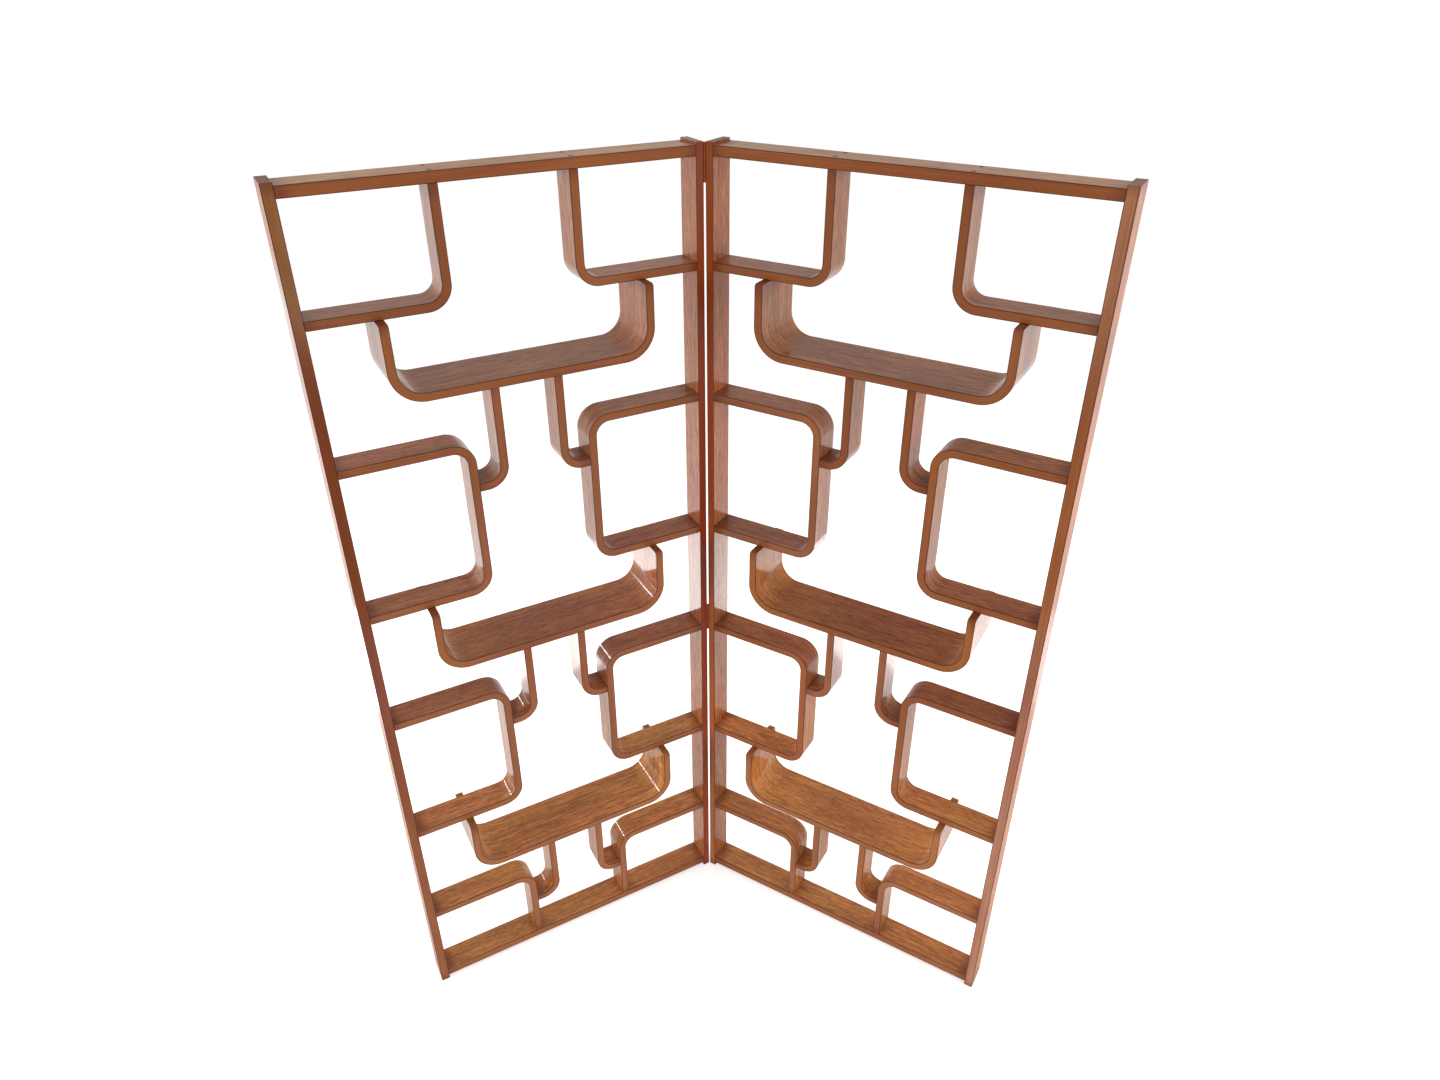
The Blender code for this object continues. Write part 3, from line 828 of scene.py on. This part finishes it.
    def mend_attributes(self, mesh):
        """Points that the holes brought in take their place in the board's last straight stretch."""
        end, side, _, _, _ = self.rings[-1]
        ahead = Vector((side.y, -side.x))
        back = Matrix.Rotation(SIGNS[self.side] * PANEL_TURN, 3, "Z")
        names = ("grain", "place", "limit", "tint", "edge_tint", "sheen")
        layers = {name: mesh.attributes[name].data for name in names}
        for index, point in enumerate(mesh.vertices):
            if layers["limit"][index].vector.length > 0:
                continue
            local = back @ (point.co - Vector((0, HINGE_Y, 0)))
            reach = Vector((local.x, local.z)) - end
            place = (self.length + reach.dot(ahead), reach.dot(side), local.y - self.middle)
            layers["place"][index].vector = place
            layers["grain"][index].vector = self.grain_at(place)
            layers["limit"][index].vector = (self.length, self.half, self.reach)
            layers["tint"][index].vector = self.tint(FACE_TINTS_AND_PAINTED_LIGHT, point.co.z)
            layers["edge_tint"][index].vector = self.tint(EDGE_TINTS_AND_PAINTED_LIGHT, point.co.z)
            layers["sheen"][index].value = self.own(SHEENS, FULL_SHEEN)[-1][1]
        for face in mesh.polygons:
            spots = [mesh.uv_layers["OFBake"].data[index] for index in face.loop_indices]
            if all(spot.uv.length == 0 for spot in spots):
                for number, spot in enumerate(spots):
                    u = HOLE_CORNER[0] + HOLE_SPAN[0] * (number in (1, 2))
                    spot.uv = (u, HOLE_CORNER[1] + HOLE_SPAN[1] * (number > 1))


# Panels

def panel_place(side, place, half):
    """How far from the hinge axis a place of the inner or outer half lies, with the panel's sign."""
    counted = place if half == "inner" else CLEAR_WIDTH - place
    return SIGNS[side] * (BARREL_RADIUS + FIT + POSTS["inner"] + counted)


def screw_spots(side, half):
    return [(panel_place(side, COLUMN_PLACE, half), FRAME_DEPTH * share) for share in RAIL_SCREW_SHARES]


def add_posts(side):
    for half, thickness in POSTS.items():
        x = panel_place(side, -thickness / 2, half)
        stations = rounded_route([(x, 0.0), (x, HEIGHT)], 0.0)
        (start, start_side), (stop, _) = stations
        stations[1:1] = [(start.lerp(stop, step / POST_STEPS), start_side) for step in range(1, POST_STEPS)]
        depths = [(0.0, FRAME_DEPTH)] * len(stations)
        name = f"{side}_{half}_post"
        Board(side, name, stations, thickness, depths, POST_EDGE, SAWN_EDGE).build("frame_wood")


def add_board(side, words, corners, thickness, radius, slot, holes=()):
    """A board of the frame's depth whose ends butt against others."""
    stations = rounded_route(corners, radius)
    depths = [(0.0, FRAME_DEPTH)] * len(stations)
    name = f"{side}_{words}"
    Board(side, name, stations, thickness, depths, BENT_EDGE, BUTT_EDGE, holes).build(slot)


def add_rails(side):
    spots = screw_spots(side, "inner") + screw_spots(side, "outer")
    for level, (bottom, top), holes in (("top", TOP_RAIL, spots), ("base", BASE_RAIL, ())):
        ends = [(panel_place(side, FIT, half), (bottom + top) / 2) for half in POSTS]
        add_board(side, f"{level}_rail", ends, top - bottom, 0.0, "frame_wood", holes)


def add_brackets(side, half):
    start = panel_place(side, FIT, half)
    column = panel_place(side, COLUMN_PLACE, half)
    head = ("head", HEAD_SHELF, TOP_RAIL[0] - FIT, screw_spots(side, half))
    base = ("base", BASE_SHELF, BASE_RAIL[1] + FIT, ())
    for level, shelf, end, holes in (head, base):
        corners = [(start, shelf), (column, shelf), (column, end)]
        words = f"{half}_{level}_bracket"
        add_board(side, words, corners, BENT_THICKNESS, SHELF_BEND, "bent_wood", holes)


def add_cells(side, half):
    start = panel_place(side, FIT, half)
    column = panel_place(side, COLUMN_PLACE, half)
    for level, (low, high) in (("upper", UPPER_CELL), ("lower", LOWER_CELL)):
        corners = [(start, high), (column, high), (column, low), (start, low)]
        add_board(side, f"{half}_{level}_cell", corners, BENT_THICKNESS, SHELF_BEND, "bent_wood")


def add_hangers(side, half):
    """Boards that drop from the trays and bend outward to the column beside them."""
    x = panel_place(side, HANGER_PLACE, half)
    outward = SIGNS[side] if half == "outer" else -SIGNS[side]
    end = panel_place(side, COLUMN_PLACE, half) - outward * (BENT_THICKNESS / 2 + FIT)
    for tier, shelf in TIERS.items():
        floor = shelf - TRAY_DROP
        foot = floor - HANGER_DROP
        corners = [(x, floor - TRAY_THICKNESS / 2 - FIT), (x, foot), (end, foot)]
        add_board(side, f"{half}_{tier}_hanger", corners, BENT_THICKNESS, HANGER_BEND, "bent_wood")


def add_tray(side, tier, shelf):
    """A tray, whose front and back are eased at the tops of its two ears."""
    near = panel_place(side, TRAY_EAR, "inner")
    far = panel_place(side, TRAY_EAR, "outer")
    floor = shelf - TRAY_DROP
    top = shelf - BENT_THICKNESS / 2 - FIT
    stations = rounded_route([(near, top), (near, floor), (far, floor), (far, top)], TRAY_BEND)
    stations.insert(1, (Vector((near, top - EASE_HEIGHT)), stations[0][1]))
    stations.insert(-1, (Vector((far, top - EASE_HEIGHT)), stations[-1][1]))
    eased = (TRAY_FRONT + EASE_DEPTH, TRAY_BACK - EASE_DEPTH)
    depths = [eased] + [(TRAY_FRONT, TRAY_BACK)] * (len(stations) - 2) + [eased]
    name = f"{side}_{tier}_tray"
    Board(side, name, stations, TRAY_THICKNESS, depths, BENT_EDGE, SAWN_EDGE / 2).build("tray_wood")


def add_panel(side):
    add_posts(side)
    add_rails(side)
    for half in POSTS:
        add_brackets(side, half)
        add_cells(side, half)
        add_hangers(side, half)
    for tier, shelf in TIERS.items():
        add_tray(side, tier, shelf)


for panel_side in SIGNS:
    add_panel(panel_side)

# Metal nodes keep their shape and get their finish
METALS = {
    "screw_metal": metal("rail_screw_steel", colour(70, 50, 38), colour(38, 24, 18), 0.42),
    "hinge_metal": metal("hinge_brass", colour(176, 108, 62), colour(122, 64, 38), 0.4),
}
for name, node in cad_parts.items():
    if name.endswith("rail_screw"):
        node.data.materials[0] = METALS["screw_metal"]
    elif "hinge" in name:
        node.data.materials[0] = METALS["hinge_metal"]


def add_hinge_screw(name, side, spot):
    """A slotted screw, flush in a countersunk hole of a leaf."""
    placing = placed(side, spot, (SIGNS[side], 0, 0))
    shape = bmesh.new()
    add_lathe(shape, HINGE_SCREW, placing)
    mesh = bpy.data.meshes.new("hinge_screw")
    shape.to_mesh(mesh)
    shape.free()
    made = bpy.data.objects.new(name, mesh)
    bpy.context.scene.collection.objects.link(made)
    slot = bmesh.new()
    turned = placing @ Matrix.Rotation(SLOT_TURN * spread(name, SLOT_SALT), 4, "Z")
    bmesh.ops.create_cube(slot, size=1.0, matrix=turned @ Matrix.Diagonal((*SLOT_SIZE, 1.0)))
    cut_away(made, slot)
    made.data.materials.clear()
    made.data.materials.append(METALS["hinge_metal"])
    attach(made, side + "_panel")


for screw_side, sign in SIGNS.items():
    for level, centre in HINGE_LEVELS.items():
        for row, word in ((-1, "low"), (0, "middle"), (1, "high")):
            screw_spot = (sign * (BARREL_RADIUS - LEAF_THICKNESS), HOLE_SETBACK, centre + row * HOLE_PITCH)
            add_hinge_screw(f"{level}_hinge_{screw_side}_{word}_screw", screw_side, screw_spot)


# Floor

WHITE = (1.0, 1.0, 1.0, 1.0)
FLOOR_REACH = 60.0
FLOOR_LEVEL = -0.0005
FLOOR_GREY = (0.80, 0.80, 0.80, 1.0)
FLOOR_ROUGHNESS = 0.9
FLOOR_SPECULAR = 0.1
FLOOR_GLOW = 0.55
GLOW_RANGE = (0.4, 1.6)


def is_mirrored(tree, rays):
    return maths(tree, "MAXIMUM", rays.outputs["Is Glossy Ray"], rays.outputs["Is Transmission Ray"])


def add_floor():
    """A pale floor that looks white to the camera and, away from the object, in gloss."""
    shape = bmesh.new()
    ways = ((-1, -1), (1, -1), (1, 1), (-1, 1))
    corners = [shape.verts.new((x * FLOOR_REACH, y * FLOOR_REACH, FLOOR_LEVEL)) for x, y in ways]
    shape.faces.new(corners)
    mesh = bpy.data.meshes.new("floor")
    shape.to_mesh(mesh)
    shape.free()
    floor = bpy.data.objects.new("floor", mesh)
    bpy.context.scene.collection.objects.link(floor)
    made = bpy.data.materials.new("floor_paint")
    made.use_nodes = True
    tree = made.node_tree
    shader = tree.nodes["Principled BSDF"]
    shader.inputs["Base Color"].default_value = FLOOR_GREY
    shader.inputs["Roughness"].default_value = FLOOR_ROUGHNESS
    shader.inputs["Specular IOR Level"].default_value = FLOOR_SPECULAR
    rays = make_node(tree, "LightPath")
    place = make_node(tree, "TexCoord").outputs["Object"]
    distance = make_node(tree, "VectorMath", {0: place}, operation="LENGTH").outputs["Value"]
    mirrored = maths(tree, "MULTIPLY", is_mirrored(tree, rays), ramp(tree, distance, *GLOW_RANGE))
    seen = maths(tree, "MAXIMUM", rays.outputs["Is Camera Ray"], mirrored)
    shader.inputs["Emission Color"].default_value = WHITE
    tree.links.new(maths(tree, "MULTIPLY", seen, FLOOR_GLOW), shader.inputs["Emission Strength"])
    mesh.materials.append(made)


# World: white to the camera, soft light for what is dull, and darker walls in gloss,
# with a bright low stretch behind the object

SOFT_LIGHT = 0.6
SIDE_WALLS = 0.72
END_WALLS = 0.50
WALL_RANGE = (0.2, 0.8)
LOW_RANGE = (0.2, 0.0)
BEHIND_RANGE = (-0.6, 0.0)


def add_world():
    world = bpy.data.worlds.new("studio")
    bpy.context.scene.world = world
    world.use_nodes = True
    tree = world.node_tree
    back = tree.nodes["Background"]
    back.inputs["Color"].default_value = WHITE
    _, depth, height = axes(tree, make_node(tree, "TexCoord").outputs["Generated"])
    walls = ramp(tree, maths(tree, "ABSOLUTE", depth), *WALL_RANGE, SIDE_WALLS, END_WALLS)
    low = maths(tree, "MULTIPLY", ramp(tree, height, *LOW_RANGE), ramp(tree, depth, *BEHIND_RANGE))
    rays = make_node(tree, "LightPath")
    change = maths(tree, "SUBTRACT", maths(tree, "MAXIMUM", walls, low), SOFT_LIGHT)
    strength = maths(tree, "MULTIPLY_ADD", is_mirrored(tree, rays), change, SOFT_LIGHT)
    strength = weighed(tree, (rays.outputs["Is Camera Ray"], 1.0 - SOFT_LIGHT), rest=strength)
    tree.links.new(strength, back.inputs["Strength"])


# Lamps: four soft ones light what is dull, and three show only in gloss,
# which stand for the room's window and its bright floor

BEAM = radians(80)
SOFT_SIZE = (2.0, 2.0)
SOFT_POWER = 30.0
SOFT_X = 4.2
SOFT_DEPTHS = {"front": -2.4, "back": 2.8}
SOFT_HEIGHT = 1.9
SOFT_AIM = (0.0, 0.1, 0.9)
WINDOW_PLACE = (-5.2, 1.45, 2.5)
WINDOW_AIM = (-0.3, -0.1, 0.4)
WINDOW_ALONG = (-0.5, 0.866, 0.0)
WINDOW_SIZE = (0.2, 1.4)
WINDOW_POWER = 50.0
LOW_X = 1.34
LOW_Y = 0.945
LOW_HEIGHT = 0.01
LOW_AIM_HEIGHT = 1.0
LOW_SIZE = (0.72, 0.52)
LOW_POWERS = {"left": 4.0, "right": 3.1}


def add_lamp(name, place, aim, along, size, power, mirrored):
    """An area lamp whose length lies along a direction, either seen in gloss or lighting what is dull."""
    light = bpy.data.lights.new(name, "AREA")
    light.shape = "RECTANGLE"
    light.size, light.size_y = size
    light.energy = power
    light.spread = pi if mirrored else BEAM
    lamp = bpy.data.objects.new(name, light)
    back = (Vector(place) - Vector(aim)).normalized()
    side = Vector(along).cross(back).normalized()
    turned = Matrix((side, back.cross(side), back)).transposed().to_4x4()
    lamp.matrix_world = Matrix.Translation(place) @ turned
    lamp.visible_glossy = mirrored
    lamp.visible_diffuse = not mirrored
    lamp.visible_camera = False
    bpy.context.scene.collection.objects.link(lamp)


def add_lamps():
    add_lamp("window", WINDOW_PLACE, WINDOW_AIM, WINDOW_ALONG, WINDOW_SIZE, WINDOW_POWER, mirrored=True)
    for side, sign in SIGNS.items():
        for end, depth in SOFT_DEPTHS.items():
            place = (sign * SOFT_X, depth, SOFT_HEIGHT)
            add_lamp(f"{side}_{end}", place, SOFT_AIM, (0, 0, 1), SOFT_SIZE, SOFT_POWER, mirrored=False)
        place = (sign * LOW_X, LOW_Y, LOW_HEIGHT)
        aim = (sign * LOW_X, LOW_Y, LOW_AIM_HEIGHT)
        add_lamp(f"{side}_low", place, aim, (0, 1, 0), LOW_SIZE, LOW_POWERS[side], mirrored=True)


# The photograph's camera, as fitted to the boards' edges, in pixels, degrees and metres

IMAGE_WIDTH = 1440
IMAGE_HEIGHT = 1080
FOCAL_PIXELS = 988.015
CENTRE_X = 720.04
CENTRE_Y = 536.39
YAW = radians(-0.78042)
PITCH = radians(31.03976)
ROLL = radians(0.02822)
CAMERA_PLACE = (0.05451, HINGE_Y - 1.89935, 2.20871)
SENSOR_WIDTH = 36.0
CLIP_END = 200.0


def add_camera():
    data = bpy.data.cameras.new("camera")
    camera = bpy.data.objects.new("camera", data)
    bpy.context.scene.collection.objects.link(camera)
    bpy.context.scene.camera = camera
    ahead = Vector((sin(YAW) * cos(PITCH), cos(YAW) * cos(PITCH), -sin(PITCH)))
    flat = Vector((cos(YAW), -sin(YAW), 0.0))
    up = flat.cross(ahead)
    right = flat * cos(ROLL) + up * sin(ROLL)
    top = up * cos(ROLL) - flat * sin(ROLL)
    turned = Matrix((right, top, -ahead)).transposed().to_4x4()
    camera.matrix_world = Matrix.Translation(CAMERA_PLACE) @ turned
    data.sensor_width = SENSOR_WIDTH
    data.lens = SENSOR_WIDTH * FOCAL_PIXELS / IMAGE_WIDTH
    data.shift_x = (IMAGE_WIDTH / 2 - CENTRE_X) / IMAGE_WIDTH
    data.shift_y = (CENTRE_Y - IMAGE_HEIGHT / 2) / IMAGE_WIDTH
    data.clip_end = CLIP_END


add_floor()
add_world()
add_lamps()
add_camera()
bpy.context.scene.view_settings.view_transform = "Standard"
